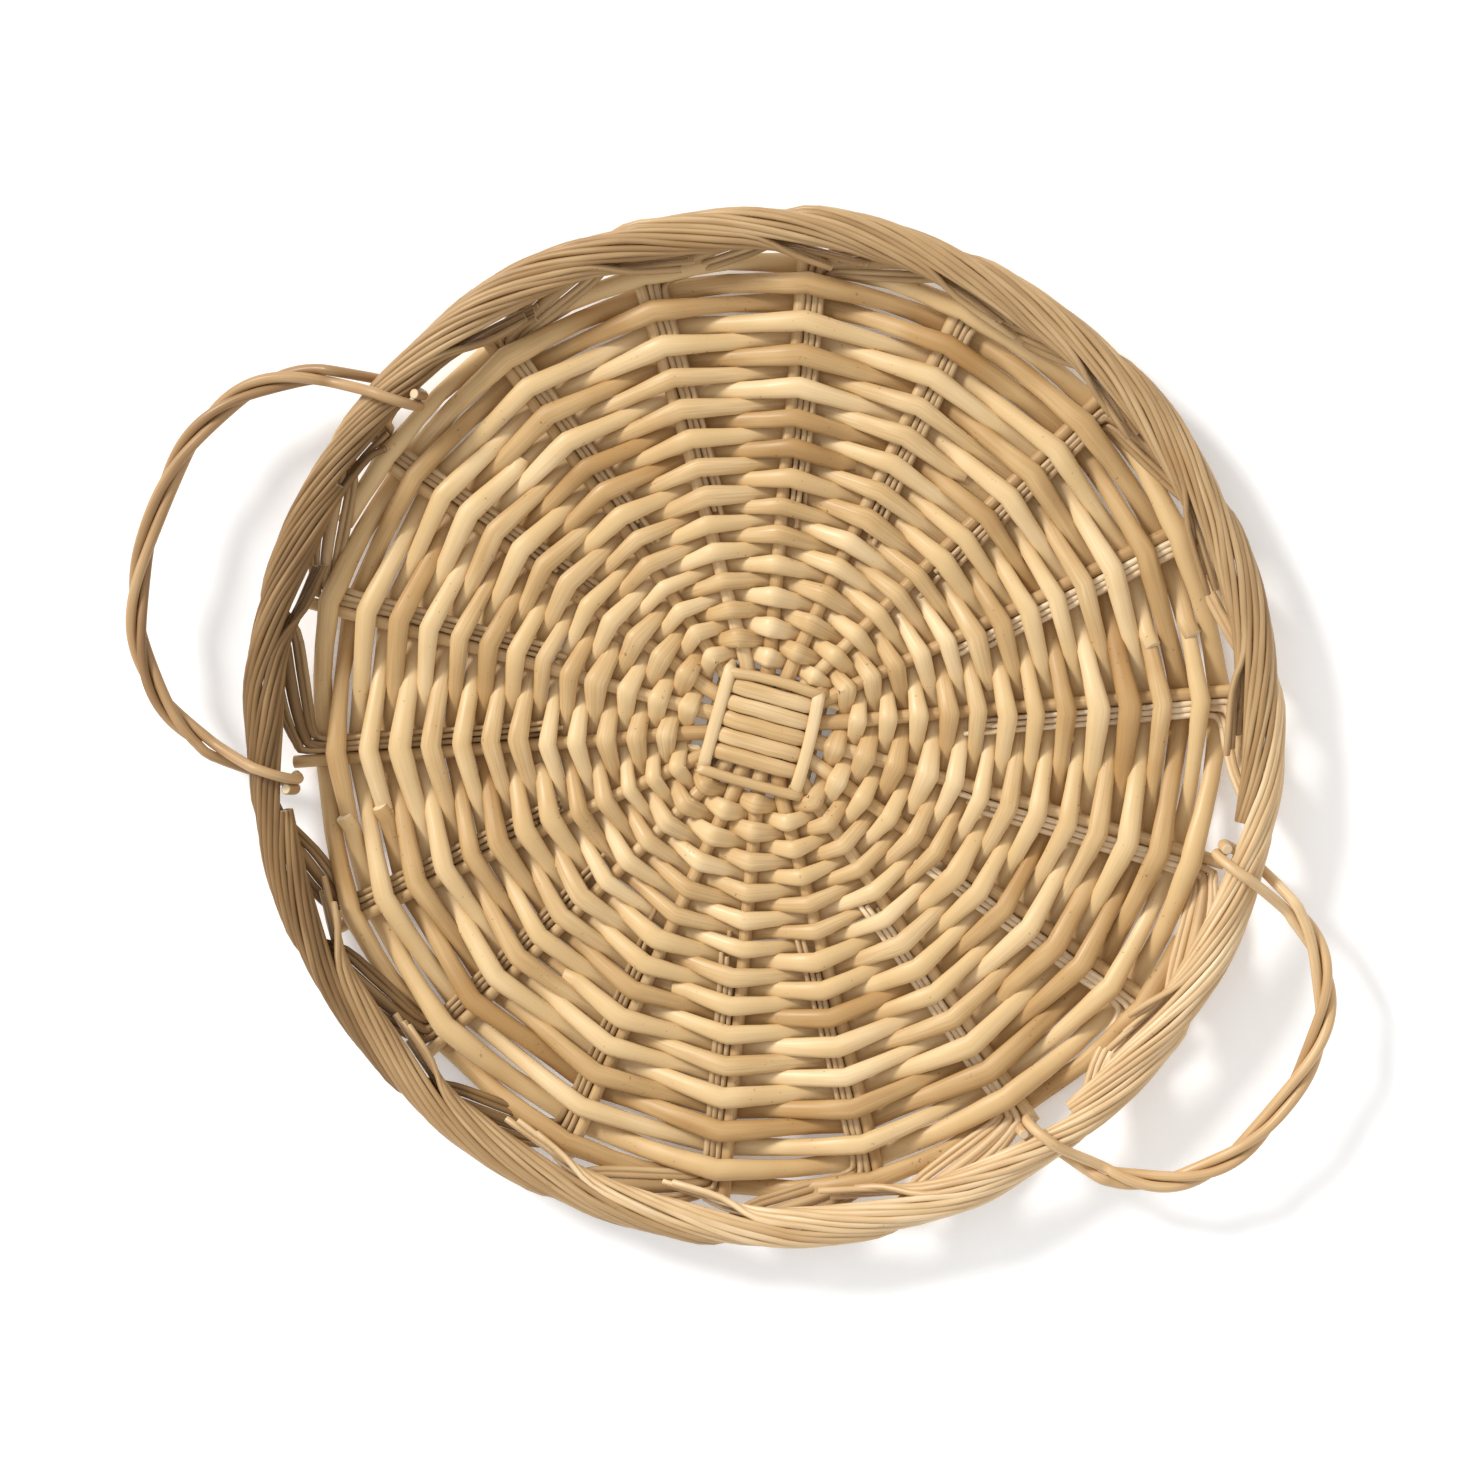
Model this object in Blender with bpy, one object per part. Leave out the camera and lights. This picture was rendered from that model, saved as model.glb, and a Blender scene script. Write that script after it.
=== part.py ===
"""A round willow tray for draining and moulding cheese, with two twisted loop handles.

Five base sticks are split at the middle and four more are threaded through the splits, which
makes the square slath. Two thin binders tie its four arms, the eighteen stick ends fan out, and
two strands of weaving rods chase each other round them, over one stick and under the next.
Beside every stick a bundle of bye-stakes is pushed into the weave. Outside the last round each
bundle turns up and round, and three bundles at a time lie together as the rope border. Each
handle is three rods twisted together, and two of them hook round the border, so the loop swings.

Metres, +Z up. The origin is the middle of the slath's underside, which rests on the table.
"""

import math

import bmesh
import bpy
from mathutils import Matrix, Vector

MM = 0.001
FULL_TURN = 2 * math.pi

# Overall sizes
TRAY_RADIUS = 180 * MM  # outside of the border
BORDER_HEIGHT = 22.5 * MM  # middle of the border above the table

# The base sticks and the slath that they cross in
STICK = 4.6 * MM
SLATH_TURN = math.radians(-15)  # the pierced sticks' direction
PIERCED_STICKS = 5
PIERCED_GAP = 1.3 * MM  # between neighbours in the slath
THREADED_STICKS = 4
THREADED_GAP = 1.6 * MM
SPLIT_HALF = 3.15 * MM  # thickness of each half of a split stick
SPLIT_CLEARANCE = 0.3 * MM
SWELL_ROOM = 0.9 * MM  # past the split's end before its halves close up again
SWELL_LENGTH = 1.4 * MM  # over which they close up
FAN_RADIUS = 24 * MM  # beyond this every stick lies on its own radius

# The binders that tie the slath's arms
BINDER = 2.4 * MM
# Each binder's gap to the slath: (on the pierced arms, on the threaded arms)
BINDER_GAPS = ((0.5 * MM, 1.1 * MM), (1.9 * MM, 4.3 * MM))
BINDER_SIDE_GAPS = (0.6 * MM, -0.2 * MM)  # past the outermost stick of each kind of arm

# The weave
ROUNDS = 26
STRANDS = 2
RODS_PER_STRAND = 8
PITCH_GROWTH = 1.37  # the last round's pitch over the first round's
ROD_GAP = 0.5 * MM  # between neighbouring rounds
ROD_END_GAP = 1.0 * MM  # between one rod's end and the next rod's start
LAY_GAP = 0.25 * MM  # between a weaving rod and the stick it bears on
LAY_ROOM = 0.4 * MM  # a rod starts to slope this far past the stick
TABLE_GAP = 0.1 * MM  # below the rods that pass under a stick
WEAVER_THICKNESS = 4.4 * MM  # of the outermost rods
STEEPEST = 0.76  # sine of the steepest slope of a rod between two sticks

# The bye-stakes and the border
STRAND = 5.6 * MM  # a bundle of bye-stakes
STRAND_TIP = 2.2 * MM  # its cut end, pushed into the weave
BYE_START = 78 * MM
BYE_GAP = 0.3 * MM
LAY_SPOKES = 3  # a bundle takes this many spoke intervals to go once round the border's middle
ROPE_GAP = 0.35 * MM
ENTRY_PHASE = math.radians(240)  # where a bundle enters: 180 is the border's inside, 270 its bottom
ENTRY_STEPS = 3  # a bundle reaches the border this many quarter intervals past its stick,
HURRIED_STEPS = 1  # or this many where a handle's foot is in its way
TUCK_STEPS = 11  # and its tip lies inside the border this many quarter intervals past its stick
# The way up to the border: (share of the way out to its middle, turn, share of the climb)
LONG_RISE = (
    (-0.05, math.radians(1.2), 0.125),
    (0.10, math.radians(4.2), 0.44),
    (0.35, math.radians(7.5), 0.75),
    (0.74, math.radians(10.4), 1),
)
SHORT_RISE = ((0.08, 0, 0.125), (0.48, math.radians(0.7), 0.7))
ENTRY_DROP = 0.86  # where the climb ends below the border's middle, over the border's radius

# The handles: (direction of the first foot, turn to the second foot, reach from the hinge line)
HANDLE_ROD = 3.6 * MM
HANDLES = {
    "left_handle": (math.radians(137.5), math.radians(48), 66 * MM),
    "right_handle": (math.radians(-54.5), math.radians(39.5), 58 * MM),
}
HANDLE_TWISTS = 2
HANDLE_RODS = 3
HANDLE_SQUARENESS = 2.4  # 2 is an ellipse, more is squarer
HOOK_GAP = 0.3 * MM  # between the two hooks of a foot
FOOT_CLEARANCE = 0.4 * MM
NECK = 20 * MM  # from the hinge line to where the twist begins
HOOK_END = math.radians(215)
TWIST_GAP = 0.5 * MM

WEAVER_SIDES = 6
STICK_SIDES = 8
STRAND_SIDES = 6
HANDLE_SIDES = 6
SHARP_ANGLE = math.radians(75)  # only the cut ends are sharper

# Sizes that follow from the ones above
SPOKES = 2 * (PIERCED_STICKS + THREADED_STICKS)
PIERCED_PITCH = STICK + PIERCED_GAP
THREADED_PITCH = STICK + THREADED_GAP
FOOT_PITCH = HANDLE_ROD + HOOK_GAP
SPOKE_STEP = FULL_TURN / SPOKES
FIRST_SPOKE = SLATH_TURN + SPOKE_STEP
SLATH_HALF = STICK / 2 + SPLIT_CLEARANCE + SPLIT_HALF
ROPE_OFFSET = (STRAND + ROPE_GAP) / math.sqrt(3)
ROPE_RADIUS = ROPE_OFFSET + STRAND / 2
BORDER_RADIUS = TRAY_RADIUS - ROPE_RADIUS
RISE_RADIUS = BORDER_RADIUS - ROPE_RADIUS
STICK_END = RISE_RADIUS - 0.5 * MM
RIM_HALF = STRAND / 2 + LAY_GAP + WEAVER_THICKNESS + TABLE_GAP

STICK_COLOR = (0.60, 0.41, 0.21, 1)
BINDER_COLOR = (0.80, 0.62, 0.38, 1)
WEAVER_COLOR = (0.62, 0.43, 0.23, 1)
BORDER_COLOR = (0.50, 0.32, 0.15, 1)
HANDLE_COLOR = (0.52, 0.33, 0.15, 1)
ROUGHNESS = 0.55


def clear_scene():
    for obj in list(bpy.data.objects):
        bpy.data.objects.remove(obj, do_unlink=True)


def willow_material(name, color):
    material = bpy.data.materials.new(name)
    material.use_nodes = True
    shader = material.node_tree.nodes["Principled BSDF"]
    shader.inputs["Base Color"].default_value = color
    shader.inputs["Roughness"].default_value = ROUGHNESS
    shader.inputs["Metallic"].default_value = 0
    material.diffuse_color = color
    return material


def polar(radius, angle, height):
    return Vector((radius * math.cos(angle), radius * math.sin(angle), height))


def unit_ring(sides, level):
    """Corners on the unit circle, or stretched till the flats at top and bottom reach 1 too."""
    turns = [FULL_TURN * (k + 0.5) / sides for k in range(sides)]
    corners = [(math.sin(turn), -math.cos(turn)) for turn in turns]
    if not level:
        return corners
    widest = max(across for across, up in corners)
    highest = max(up for across, up in corners)
    return [(across / widest, up / highest) for across, up in corners]


def stretch_frames(points, level):
    """(along, side, upward) of every stretch of a path; level ones keep a flat side uppermost."""
    frames = []
    side = None
    for a, b in zip(points, points[1:]):
        along = (b - a).normalized()
        if level or side is None:
            side = along.cross(Vector((0, 0, 1)))
        side = (side - along * side.dot(along)).normalized()
        frames.append((along, side, side.cross(along)))
    return frames


def ring_points(point, frames, half_width, half_height, ring):
    """The section at one point of a path, mitred between the stretches before and after it."""
    mitre = sum((frame[0] for frame in frames), Vector((0, 0, 0))).normalized()
    corners = []
    for across, up in ring:
        corner = Vector((0, 0, 0))
        for along, side, upward in frames:
            offset = side * across * half_width + upward * up * half_height
            corner += offset - along * (offset.dot(mitre) / along.dot(mitre))
        corners.append(point + corner / len(frames))
    return corners


def swept_rod(name, path, sides, color, level=True):
    """A rod along (point, half width, half height) stations, extruded from one to the next."""
    frames = stretch_frames([station[0] for station in path], level)
    ring = unit_ring(sides, level)
    mesh = bmesh.new()
    cap = None
    for i, (point, half_width, half_height) in enumerate(path):
        corners = ring_points(point, frames[max(i - 1, 0) : i + 1], half_width, half_height, ring)
        if cap is None:
            first = [mesh.verts.new(corner) for corner in corners]
            cap = mesh.faces.new(first)
            continue
        cap = bmesh.ops.extrude_discrete_faces(mesh, faces=[cap])["faces"][0]
        for vert, corner in zip(cap.verts, corners):
            vert.co = corner
    mesh.faces.new(reversed(first))
    bmesh.ops.recalc_face_normals(mesh, faces=mesh.faces)
    data = bpy.data.meshes.new(name)
    mesh.to_mesh(data)
    mesh.free()
    data.shade_smooth()
    data.set_sharp_from_angle(angle=SHARP_ANGLE)
    data.materials.append(willow_material(name, color))
    obj = bpy.data.objects.new(name, data)
    bpy.context.scene.collection.objects.link(obj)
    return obj


def base_height(radius):
    """Height of the sticks' middles: each round just touches the table, and outer rods are thicker."""
    share = (radius - FAN_RADIUS) / (STICK_END - FAN_RADIUS)
    return SLATH_HALF + (RIM_HALF - SLATH_HALF) * min(max(share, 0), 1)


# ---------------------------------------------------------------- slath: split and threaded sticks


def fan_turns(count):
    """How far each stick of an arm turns from the arm's direction, in order across the arm."""
    return [SPOKE_STEP * (k - (count - 1) / 2) for k in range(count)]


def slath_reach():
    """How far the split halves stay open: past the threaded sticks."""
    return (THREADED_STICKS - 1) / 2 * THREADED_PITCH + STICK / 2 + 2 * SPLIT_CLEARANCE


def swell_end():
    """Where a split stick has its own thickness again."""
    return slath_reach() + SWELL_ROOM + SWELL_LENGTH


def stick_path(turn, offset, arm_turn, middle_half):
    """Stations of a stick that runs straight through the slath and fans out at both ends."""
    fan_x, fan_y = FAN_RADIUS * math.cos(turn), FAN_RADIUS * math.sin(turn)
    half = [
        (STICK_END * math.cos(turn), STICK_END * math.sin(turn), base_height(STICK_END), STICK / 2),
        (fan_x, fan_y, SLATH_HALF, STICK / 2),
        (swell_end(), offset, SLATH_HALF, STICK / 2),
        (swell_end() - SWELL_LENGTH, offset, SLATH_HALF, middle_half),
    ]
    stations = half + [(-x, y, z, high) for x, y, z, high in reversed(half)]
    spin = Matrix.Rotation(arm_turn, 3, "Z")
    return [(spin @ Vector((x, y, z)), STICK / 2, high) for x, y, z, high in stations]


def slot_cutter():
    """One long box that splits all the pierced sticks at once."""
    mesh = bmesh.new()
    size = (2 * slath_reach(), 2 * FAN_RADIUS, STICK + 2 * SPLIT_CLEARANCE)
    bmesh.ops.create_cube(mesh, size=1, matrix=Matrix.Diagonal((*size, 1)))
    data = bpy.data.meshes.new("slot_cutter")
    mesh.to_mesh(data)
    mesh.free()
    cutter = bpy.data.objects.new("slot_cutter", data)
    bpy.context.scene.collection.objects.link(cutter)
    cutter.location = (0, 0, SLATH_HALF)
    cutter.rotation_euler = (0, 0, SLATH_TURN)
    cutter.hide_render = True
    cutter.display_type = "WIRE"
    return cutter


def build_slath():
    cutter = slot_cutter()
    for k, turn in enumerate(fan_turns(PIERCED_STICKS)):
        offset = PIERCED_PITCH * (k - (PIERCED_STICKS - 1) / 2)
        path = stick_path(turn, offset, SLATH_TURN, SLATH_HALF)
        stick = swept_rod(f"pierced_stick_{k + 1}", path, STICK_SIDES, STICK_COLOR)
        cut = stick.modifiers.new("split", "BOOLEAN")
        cut.operation = "DIFFERENCE"
        cut.solver = "EXACT"
        cut.object = cutter
    for k, turn in enumerate(fan_turns(THREADED_STICKS)):
        offset = THREADED_PITCH * (k - (THREADED_STICKS - 1) / 2)
        path = stick_path(turn, offset, SLATH_TURN + math.pi / 2, STICK / 2)
        swept_rod(f"threaded_stick_{k + 1}", path, STICK_SIDES, STICK_COLOR)


def outer_stick_offset(count, pitch, reach):
    """Sideways place of an arm's outermost stick at a distance from the tray's middle."""
    turn = fan_turns(count)[-1]
    start = swell_end()
    start_offset = pitch * (count - 1) / 2
    fan_along, fan_across = FAN_RADIUS * math.cos(turn), FAN_RADIUS * math.sin(turn)
    if reach >= fan_along:
        return reach * math.tan(turn)
    share = max(0, (reach - start) / (fan_along - start))
    return start_offset + (fan_across - start_offset) * share


def binder_reaches(gaps):
    """A binder's distance from the middle on the pierced arms and on the threaded arms."""
    edges = (swell_end(), (PIERCED_STICKS - 1) / 2 * PIERCED_PITCH + STICK / 2)
    return [edge + gap + BINDER / 2 for edge, gap in zip(edges, gaps)]


def binder_overhang(kind):
    """How far a binder's corner lies past the middle of an arm's outermost stick."""
    return STICK / 2 + BINDER_SIDE_GAPS[kind] + BINDER / 2


def build_binders():
    """Two rods round the slath: each lies over two opposite arms and under the other two."""
    lift = STICK / 2 + LAY_GAP + BINDER / 2
    arms = ((PIERCED_STICKS, PIERCED_PITCH), (THREADED_STICKS, THREADED_PITCH))
    for b, gaps in enumerate(BINDER_GAPS):
        reaches = binder_reaches(gaps)
        path = []
        for arm in range(4):
            count, pitch = arms[arm % 2]
            reach = reaches[arm % 2]
            side = outer_stick_offset(count, pitch, reach) + binder_overhang(arm % 2)
            height = SLATH_HALF + (lift if (arm + b) % 2 == 0 else -lift)
            spin = Matrix.Rotation(SLATH_TURN + arm * math.pi / 2, 3, "Z")
            path += [spin @ Vector((reach, across, height)) for across in (-side, side)]
        first_bar = (path[0] + path[1]) / 2
        gap = (path[1] - path[0]).normalized() * ROD_END_GAP / 2
        path = [first_bar + gap] + path[1:] + [path[0], first_bar - gap]
        stations = [(point, BINDER / 2, BINDER / 2) for point in path]
        swept_rod(f"binder_{b + 1}", stations, WEAVER_SIDES, BINDER_COLOR)


# ------------------------------------------------------------------------------------- the weave


def binder_edge():
    """Radius outside both binders."""
    reach = binder_reaches(BINDER_GAPS[1])[0]
    side = outer_stick_offset(PIERCED_STICKS, PIERCED_PITCH, reach) + binder_overhang(0)
    return math.hypot(reach, side) + BINDER / 2


def first_pitch():
    """The pitch of the first round, so that the last one ends just inside the border's bundles."""
    mean_share = (1 + PITCH_GROWTH) / 2
    start = binder_edge()
    end = RISE_RADIUS - STRAND / 2 - 2 * BYE_GAP
    # Half a rod lies inside the first round's middle and half outside the last one's.
    return (end - start) / (ROUNDS * mean_share + (1 + PITCH_GROWTH) / 2)


def pitch_at(count):
    return first_pitch() * (1 + (PITCH_GROWTH - 1) * count / ROUNDS)


def round_radius(count):
    """Radius after a number of rounds, which may be a fraction of one."""
    first = first_pitch()
    return binder_edge() + first / 2 + first * count * (1 + (PITCH_GROWTH - 1) * count / ROUNDS / 2)


def rod_section(count, radius, bearing):
    """(half width, half height) of a weaving rod where it lies on something this thick."""
    half_width = (math.cos(SPOKE_STEP / 2) * pitch_at(count) - ROD_GAP) / 2
    room = STEEPEST * SPOKE_STEP * radius - bearing - 2 * LAY_GAP
    height = min(base_height(radius) - bearing / 2 - LAY_GAP - TABLE_GAP, room)
    return half_width, height / 2


def crossing_stations(spoke, count, over):
    """The two stations where a rod lies flat over or under a stick and its bye-stakes."""
    angle = FIRST_SPOKE + spoke * SPOKE_STEP
    radius = round_radius(count)
    beside = (STICK + STRAND) / 2 + BYE_GAP
    has_bye = radius + pitch_at(count) / 2 + BYE_GAP > BYE_START
    bearing = max(STICK, STRAND) if has_bye else STICK
    group_half = beside / 2 if has_bye else 0
    half_width, half_height = rod_section(count, radius, bearing)
    lift = bearing / 2 + LAY_GAP + half_height
    between = radius * SPOKE_STEP - 2 * group_half - 2 * LAY_ROOM
    slope = math.asin(min(2 * lift / between, 0.98))
    flat_half = group_half + LAY_ROOM + lift * math.tan(slope / 2)
    height = base_height(radius) + (lift if over else -lift)
    middle = angle - group_half / radius
    return [
        (polar(radius, middle + side * flat_half / radius, height), half_width, half_height)
        for side in (-1, 1)
    ]


def strand_stations(strand):
    """All crossings of one strand. The two strands start and end half a turn apart."""
    turns = ROUNDS // STRANDS
    first = -(SPOKES // 2) * strand
    stations = []
    for step in range(turns * SPOKES):
        spoke = first + step
        count = STRANDS * spoke / SPOKES + strand
        stations += crossing_stations(spoke, count, (spoke + strand) % 2 == 0)
    return stations


def build_weavers():
    """Each strand is cut into rods of about one length, end to end between two sticks."""
    for strand in range(STRANDS):
        stations = strand_stations(strand)
        lengths = [0]
        for a, b in zip(stations, stations[1:]):
            lengths.append(lengths[-1] + (b[0] - a[0]).length)
        first = 0
        start = None
        for rod in range(RODS_PER_STRAND):
            last = len(stations) - 1
            end = None
            if rod < RODS_PER_STRAND - 1:
                wanted = lengths[-1] * (rod + 1) / RODS_PER_STRAND
                last = next(i for i in range(1, len(stations), 2) if lengths[i] >= wanted)
                a, b = stations[last][0], stations[last + 1][0]
                gap = (b - a).normalized() * ROD_END_GAP / 2
                size = stations[last][1:]
                end = ((a + b) / 2 - gap, *size)
                next_start = ((a + b) / 2 + gap, *size)
            path = [start] if start else []
            path += stations[first : last + 1]
            path += [end] if end else []
            swept_rod(f"weaver_{'ab'[strand]}{rod + 1}", path, WEAVER_SIDES, WEAVER_COLOR)
            first = last + 1
            start = next_start


# ------------------------------------------------------------------------ bye-stakes and border


def rope_point(angle, phase):
    """Middle of a bundle in the border. Phase 0 is its outside, and 90 degrees its top."""
    radius = BORDER_RADIUS + ROPE_OFFSET * math.cos(phase)
    return polar(radius, angle, BORDER_HEIGHT + ROPE_OFFSET * math.sin(phase))


def foot_ahead(angle):
    """Whether a handle's foot stands where a bundle that starts at this angle would rise."""
    feet = [foot for first, span, reach in HANDLES.values() for foot in (first, first + span)]
    rise = ENTRY_STEPS / 4 * SPOKE_STEP
    return any((angle - foot) % FULL_TURN < rise for foot in feet)


def rise_points(angle, ways):
    """A bundle's way up from beside its stick to the underside of the border."""
    past = ((STICK + STRAND) / 2 + BYE_GAP) / RISE_RADIUS
    climb = BORDER_HEIGHT - ENTRY_DROP * ROPE_RADIUS - RIM_HALF
    return [
        polar(RISE_RADIUS + out * ROPE_RADIUS, angle - past - turn, RIM_HALF + up * climb)
        for out, turn, up in ways
    ]


def build_border():
    """One bundle beside each stick. It rises, and winds once round the border's middle."""
    beside = (STICK + STRAND) / 2 + BYE_GAP
    step_turn = SPOKE_STEP / 4
    step_phase = FULL_TURN / LAY_SPOKES / 4
    full, tip = STRAND / 2, STRAND_TIP / 2
    for spoke in range(SPOKES):
        angle = FIRST_SPOKE + spoke * SPOKE_STEP
        across = polar(beside, angle - math.pi / 2, 0)
        path = []
        for radius, half in (
            (BYE_START, tip),
            (BYE_START + 3 * STRAND, full),
            (RISE_RADIUS - STRAND / 2, full),
        ):
            path.append((polar(radius, angle, base_height(radius)) + across, half, half))
        hurried = foot_ahead(angle)
        ways = SHORT_RISE if hurried else LONG_RISE
        path += [(point, full, full) for point in rise_points(angle, ways)]
        for step in range(HURRIED_STEPS if hurried else ENTRY_STEPS, TUCK_STEPS + 1):
            phase = ENTRY_PHASE + step_phase * (step - HURRIED_STEPS)
            path.append((rope_point(angle - step * step_turn, phase), full, full))
        name = f"border_bundle_{spoke + 1:02d}"
        swept_rod(name, path, STRAND_SIDES, BORDER_COLOR, level=False)


# --------------------------------------------------------------------------------------- handles


def foot_radius(half_span):
    """Radius of a hook about the hinge line: it clears the border, which crosses it at an angle."""
    reach_along = FOOT_PITCH / 2 + HANDLE_ROD / 2
    border = ROPE_RADIUS / math.cos(half_span) + reach_along * math.tan(half_span)
    return border + FOOT_CLEARANCE + HANDLE_ROD / 2


def loop_points(half_chord, reach, count):
    """The loop's middle line as (along the hinge, outward), from neck to neck."""
    power = 2 / HANDLE_SQUARENESS
    start = math.asin((NECK / reach) ** (1 / power))
    found = []
    for i in range(count):
        turn = start + (math.pi - 2 * start) * i / (count - 1)
        along = -half_chord * math.copysign(abs(math.cos(turn)) ** power, math.cos(turn))
        found.append((along, reach * math.sin(turn) ** power))
    return found


def twisted_rod(k, half_chord, reach):
    """One rod of the twist between the necks, as (along, outward, up)."""
    steps = 14 * HANDLE_TWISTS
    line = loop_points(half_chord, reach, steps + 1)
    offset = (HANDLE_ROD + TWIST_GAP) / math.sqrt(3)
    found = []
    for i, (along, out) in enumerate(line):
        a, b = line[max(i - 1, 0)], line[min(i + 1, steps)]
        length = math.hypot(b[0] - a[0], b[1] - a[1])
        inward = ((b[1] - a[1]) / length, -(b[0] - a[0]) / length)
        phase = FULL_TURN * (HANDLE_TWISTS * i / steps + k / HANDLE_RODS) + math.pi / 6
        side = offset * math.cos(phase)
        found.append((along + inward[0] * side, out + inward[1] * side, offset * math.sin(phase)))
    return found


def hook_points(side_along, radius, up):
    """A hook from its tangent point round the border. up is 1 over the border and -1 under it."""
    start = math.acos(radius / NECK)
    steps = 6
    turns = [start + (HOOK_END - start) * i / steps for i in range(steps + 1)]
    return [(side_along, radius * math.cos(t), up * radius * math.sin(t)) for t in turns]


def hinge_empty(name, first_foot, span):
    """An empty on the line between the two feet: its Y axis is the hinge, and X points outward."""
    middle = first_foot + span / 2
    empty = bpy.data.objects.new(f"{name}_hinge", None)
    bpy.context.scene.collection.objects.link(empty)
    empty.location = polar(BORDER_RADIUS * math.cos(span / 2), middle, BORDER_HEIGHT)
    empty.rotation_euler = (0, 0, middle)
    return empty


def build_handle(name, first_foot, span, reach):
    half_chord = BORDER_RADIUS * math.sin(span / 2)
    hinge = hinge_empty(name, first_foot, span)
    radius = foot_radius(span / 2)
    for k in range(HANDLE_RODS):
        points = twisted_rod(k, half_chord, reach)
        if k < 2:
            up = 1 if k == 0 else -1
            inset = FOOT_PITCH / 2 * up
            points = (
                hook_points(-half_chord + inset, radius, up)[::-1]
                + points
                + hook_points(half_chord - inset, radius, up)
            )
        else:
            points = points[1:-1]
        path = [
            (Vector((out, along, height)), HANDLE_ROD / 2, HANDLE_ROD / 2)
            for along, out, height in points
        ]
        rod = swept_rod(f"{name}_rod_{k + 1}", path, HANDLE_SIDES, HANDLE_COLOR, level=False)
        rod.parent = hinge


def build_tray():
    clear_scene()
    build_slath()
    build_binders()
    build_weavers()
    build_border()
    for name, (first_foot, span, reach) in HANDLES.items():
        build_handle(name, first_foot, span, reach)


build_tray()
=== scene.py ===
import math
import random

import bmesh
import bpy
from mathutils import Matrix, Vector, noise


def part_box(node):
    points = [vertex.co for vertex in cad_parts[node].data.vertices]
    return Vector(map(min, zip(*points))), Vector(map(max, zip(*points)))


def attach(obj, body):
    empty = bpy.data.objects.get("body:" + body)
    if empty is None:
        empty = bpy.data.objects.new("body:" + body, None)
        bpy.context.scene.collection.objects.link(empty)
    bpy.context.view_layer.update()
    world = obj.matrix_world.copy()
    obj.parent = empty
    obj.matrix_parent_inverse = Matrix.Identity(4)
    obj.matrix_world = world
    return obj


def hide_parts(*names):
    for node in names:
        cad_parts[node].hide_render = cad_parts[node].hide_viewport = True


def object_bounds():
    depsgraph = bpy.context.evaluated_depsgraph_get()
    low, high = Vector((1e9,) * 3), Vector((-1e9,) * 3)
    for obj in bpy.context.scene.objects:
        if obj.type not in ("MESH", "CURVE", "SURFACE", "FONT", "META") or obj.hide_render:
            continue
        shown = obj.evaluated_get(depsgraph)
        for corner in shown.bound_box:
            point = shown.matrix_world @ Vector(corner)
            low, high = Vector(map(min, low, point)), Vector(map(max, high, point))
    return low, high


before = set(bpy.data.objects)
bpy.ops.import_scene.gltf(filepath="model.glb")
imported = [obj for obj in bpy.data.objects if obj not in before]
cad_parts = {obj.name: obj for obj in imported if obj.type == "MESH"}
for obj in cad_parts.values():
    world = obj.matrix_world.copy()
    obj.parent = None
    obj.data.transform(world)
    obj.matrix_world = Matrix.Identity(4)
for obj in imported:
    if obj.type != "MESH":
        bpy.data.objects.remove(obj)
cad_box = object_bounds()

# ------------------------------------------------------------------------------------------------
# The base sticks. The eighteen ends are nine peeled willow sticks crossed at the middle: five are
# split there with a bodkin, and the other four are pushed through the splits. Only the weave round
# them keeps them in place.
# ------------------------------------------------------------------------------------------------

MM = 0.001
TURN = 2 * math.pi
UP = Vector((0, 0, 1))

SPOKES = 18
SPOKE_STEP = TURN / SPOKES
SLATH_TURN = math.radians(-15)
FIRST_SPOKE = SLATH_TURN + SPOKE_STEP
STICK = 4.7 * MM
PIERCED_STICKS, PIERCED_PITCH = 5, 5.9 * MM
THREADED_STICKS, THREADED_PITCH = 4, 6.2 * MM
SPLIT_HALF = 3.0 * MM
SPLIT_REACH = 12.4 * MM
FAN_RADIUS = 24 * MM
SLATH_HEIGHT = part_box("pierced_stick_3")[1].z / 2
RIM_HEIGHT = 7.55 * MM
STICK_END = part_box("pierced_stick_3")[1].xy.length - 1.2 * MM
STICK_LEAN = math.radians(1.6)  # no stick lies quite on its radius
LEAN_LENGTH = 140 * MM


def polar(radius, angle, height):
    return Vector((radius * math.cos(angle), radius * math.sin(angle), height))


def between(low, high, share):
    return low + (high - low) * min(max(share, 0), 1)


def stick_height(radius):
    return between(SLATH_HEIGHT, RIM_HEIGHT, (radius - FAN_RADIUS) / (STICK_END - FAN_RADIUS))


def spoke_angle(spoke, radius):
    """Direction in which a stick lies at this radius. Each one leans a little to one side."""
    lean = STICK_LEAN * noise.noise(Vector((7.3 * (spoke % SPOKES), 2.1, 0.4)))
    return FIRST_SPOKE + spoke * SPOKE_STEP + between(0, lean, (radius - FAN_RADIUS) / LEAN_LENGTH)


def curved(points, steps):
    """A smooth curve through the points, with this many stretches from one to the next."""
    ends = [2 * points[0] - points[1], *points, 2 * points[-1] - points[-2]]
    found = []
    for a, b, c, d in zip(ends, ends[1:], ends[2:], ends[3:]):
        for step in range(steps):
            t = step / steps
            bend = (2 * a - 5 * b + 4 * c - d) * t**2 + (3 * b - a - 3 * c + d) * t**3
            found.append(0.5 * (2 * b + (c - a) * t + bend))
    return found + [points[-1]]


KNIFE_BEVEL = 0.3 * MM
CUT_NARROWING = 0.78
STEEP = 0.95  # a rod this close to upright needs another direction than up to set its sides by


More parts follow.
